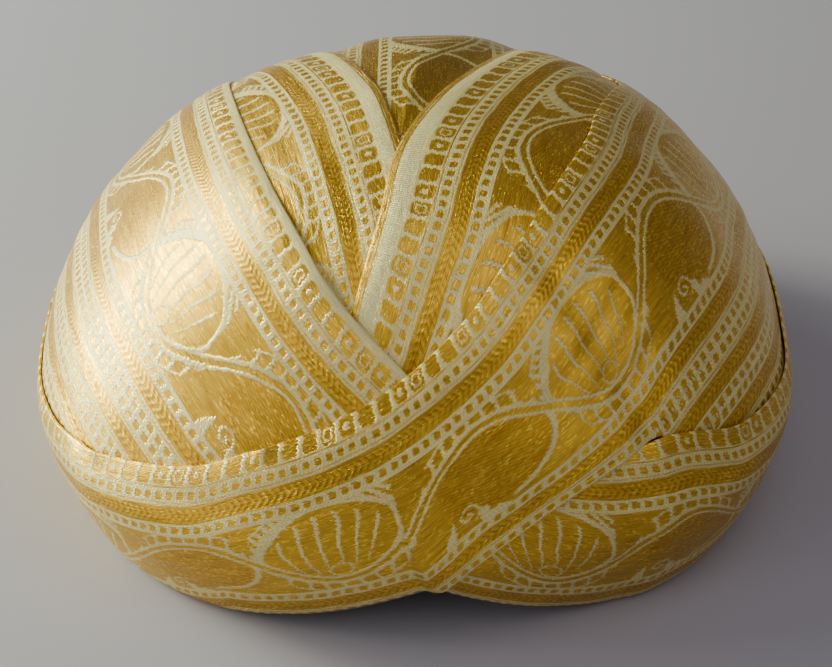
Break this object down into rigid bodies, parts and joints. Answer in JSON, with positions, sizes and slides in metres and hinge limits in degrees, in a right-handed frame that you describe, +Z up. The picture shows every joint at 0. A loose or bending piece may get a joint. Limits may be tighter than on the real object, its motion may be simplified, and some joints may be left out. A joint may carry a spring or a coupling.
{
  "type": "tied turban pagri",
  "caption": "Tied turban of gold brocade: folded wraps cross over the brow and rise to a V at the top of a padded, hollow crown that rests on its rim.",
  "frame": {"origin": "middle of the plan, at the level of the rim that the turban rests on", "axes": "+Z up through the top of the crown, -Y towards the brow, +X towards the side of the lower right wrap as seen from the front"},
  "size_m": [0.2504, 0.2386, 0.1274],
  "materials": {
    "brocade": "gold and ivory metal-thread brocade, satin with a metallic sheen",
    "crown_cloth": "duller gold brocade over padding, plain cotton inside"
  },
  "bodies": {
    "root": {"padded_crown": "crown_cloth", "inner_left_wrap": "brocade", "right_wrap": "brocade", "left_wrap": "brocade", "front_wrap": "brocade", "lower_right_wrap": "brocade"}
  },
  "joints": []
}
